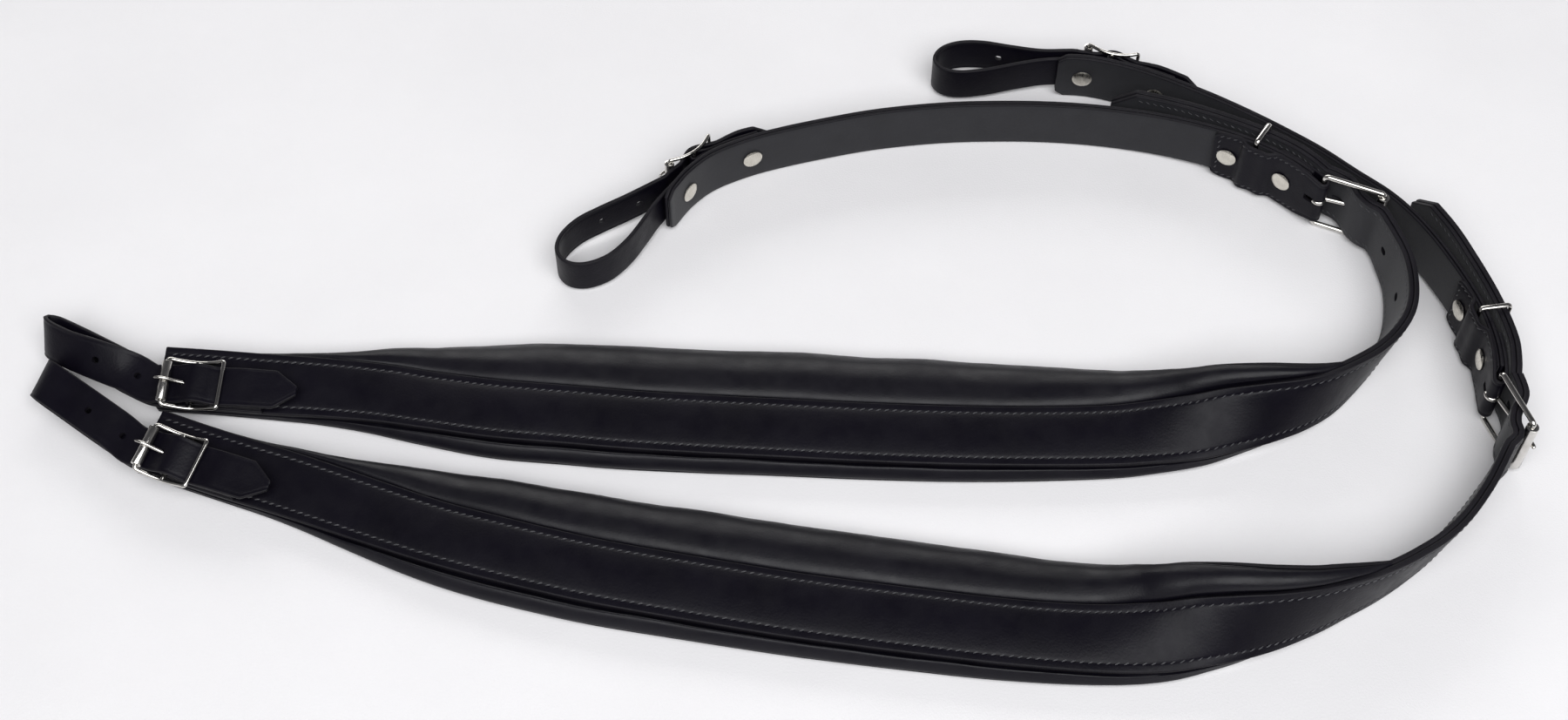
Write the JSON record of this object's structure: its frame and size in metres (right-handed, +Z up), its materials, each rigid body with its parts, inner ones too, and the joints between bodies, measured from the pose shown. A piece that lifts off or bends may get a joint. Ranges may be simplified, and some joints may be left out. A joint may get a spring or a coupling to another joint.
{
  "type": "accordion shoulder strap pair",
  "caption": "Pair of padded leather shoulder straps with looped ends and roller buckles, laid out curved, for carrying an accordion or similar instrument.",
  "frame": {"origin": "middle of the footprint, on the table the straps lie on", "axes": "+X along the padded pieces, away from their looped ends; +Y across, from the padded pieces to the upper straps; +Z up"},
  "size_m": [0.799, 0.4246, 0.0462],
  "materials": {
    "black_leather": "smooth black grain with a soft sheen",
    "lining_leather": "matte dark grey lining side",
    "foam": "soft padding, hidden under the cover",
    "plated_wire": "polished nickel plate",
    "plated_roller": "polished nickel plate, rolled tube",
    "rivet_metal": "satin nickel"
  },
  "bodies": {
    "strap_a": {"a_pad_cover": "black_leather", "a_pad_foam": "foam", "a_pad_lining": "lining_leather", "a_main_strap": "black_leather", "a_main_lining": "lining_leather", "a_upper_strap": "black_leather", "a_upper_lining": "lining_leather", "a_chape": "black_leather", "a_buckle": "plated_wire", "a_chape_rivet_1": "rivet_metal", "a_chape_rivet_2": "rivet_metal", "a_top_buckle": "plated_wire", "a_top_tab": "black_leather", "a_top_loop": "black_leather", "a_top_rivet_1": "rivet_metal", "a_top_rivet_2": "rivet_metal", "a_low_buckle": "plated_wire", "a_low_tab": "black_leather", "a_low_loop": "black_leather", "a_low_rivet_1": "rivet_metal", "a_low_rivet_2": "rivet_metal"},
    "strap_b": {"b_pad_cover": "black_leather", "b_pad_foam": "foam", "b_pad_lining": "lining_leather", "b_main_strap": "black_leather", "b_main_lining": "lining_leather", "b_upper_strap": "black_leather", "b_upper_lining": "lining_leather", "b_chape": "black_leather", "b_buckle": "plated_wire", "b_chape_rivet_1": "rivet_metal", "b_chape_rivet_2": "rivet_metal", "b_top_buckle": "plated_wire", "b_top_tab": "black_leather", "b_top_loop": "black_leather", "b_top_rivet_1": "rivet_metal", "b_top_rivet_2": "rivet_metal", "b_low_buckle": "plated_wire", "b_low_tab": "black_leather", "b_low_loop": "black_leather", "b_low_rivet_1": "rivet_metal", "b_low_rivet_2": "rivet_metal"},
    "a_roller": {"a_roller": "plated_roller"},
    "a_prong": {"a_prong": "plated_wire"},
    "a_keeper": {"a_keeper": "plated_wire"},
    "a_top_roller": {"a_top_roller": "plated_roller"},
    "a_top_prong": {"a_top_prong": "plated_wire"},
    "a_low_roller": {"a_low_roller": "plated_roller"},
    "a_low_prong": {"a_low_prong": "plated_wire"},
    "b_roller": {"b_roller": "plated_roller"},
    "b_prong": {"b_prong": "plated_wire"},
    "b_keeper": {"b_keeper": "plated_wire"},
    "b_top_roller": {"b_top_roller": "plated_roller"},
    "b_top_prong": {"b_top_prong": "plated_wire"},
    "b_low_roller": {"b_low_roller": "plated_roller"},
    "b_low_prong": {"b_low_prong": "plated_wire"}
  },
  "joints": [
    {"name": "strap_b_lift", "type": "slide", "parent": "strap_a", "child": "strap_b", "axis": [0, 0, 1], "range_m": [0, 0.15]},
    {"name": "a_roller_spin", "type": "hinge", "parent": "strap_a", "child": "a_roller", "pos_m": [0.34267, 0.07388, 0.02163], "axis": [0, 0, 1], "continuous": true},
    {"name": "a_prong_swing", "type": "hinge", "parent": "strap_a", "child": "a_prong", "pos_m": [0.31152, 0.08751, 0.02163], "axis": [0, 0, 1], "range_deg": [0, 3]},
    {"name": "a_keeper_slide", "type": "slide", "parent": "strap_a", "child": "a_keeper", "axis": [-0.8351, 0.5486, -0.0406], "range_m": [-0.004, 0.003]},
    {"name": "a_top_roller_spin", "type": "hinge", "parent": "strap_a", "child": "a_top_roller", "pos_m": [-0.05948, 0.10976, 0.01643], "axis": [0, 0, 1], "continuous": true},
    {"name": "a_top_prong_swing", "type": "hinge", "parent": "strap_a", "child": "a_top_prong", "pos_m": [-0.04539, 0.11654, 0.01643], "axis": [0, 0, -1], "range_deg": [0, 4]},
    {"name": "a_low_roller_spin", "type": "hinge", "parent": "strap_a", "child": "a_low_roller", "pos_m": [-0.3246, -0.04095, 0.02279], "axis": [0.0641, 0.9723, 0.2247], "continuous": true},
    {"name": "a_low_prong_swing", "type": "hinge", "parent": "strap_a", "child": "a_low_prong", "pos_m": [-0.30971, -0.04084, 0.01803], "axis": [0.0641, 0.9723, 0.2247], "range_deg": [0, 4]},
    {"name": "b_roller_spin", "type": "hinge", "parent": "strap_b", "child": "b_roller", "pos_m": [0.39322, -0.08208, 0.02163], "axis": [0, 0, 1], "continuous": true},
    {"name": "b_prong_swing", "type": "hinge", "parent": "strap_b", "child": "b_prong", "pos_m": [0.38352, -0.04949, 0.02163], "axis": [0, 0, 1], "range_deg": [0, 3]},
    {"name": "b_keeper_slide", "type": "slide", "parent": "strap_b", "child": "b_keeper", "axis": [-0.1447, 0.9889, -0.0342], "range_m": [-0.004, 0.003]},
    {"name": "b_top_roller_spin", "type": "hinge", "parent": "strap_b", "child": "b_top_roller", "pos_m": [0.18987, 0.20343, 0.01643], "axis": [0, 0, 1], "continuous": true},
    {"name": "b_top_prong_swing", "type": "hinge", "parent": "strap_b", "child": "b_top_prong", "pos_m": [0.20294, 0.19485, 0.01643], "axis": [0, 0, -1], "range_deg": [0, 4]},
    {"name": "b_low_roller_spin", "type": "hinge", "parent": "strap_b", "child": "b_low_roller", "pos_m": [-0.32708, -0.08302, 0.02298], "axis": [0.3406, 0.917, 0.2077], "continuous": true},
    {"name": "b_low_prong_swing", "type": "hinge", "parent": "strap_b", "child": "b_low_prong", "pos_m": [-0.3128, -0.08724, 0.01822], "axis": [0.3406, 0.917, 0.2077], "range_deg": [0, 4]}
  ]
}
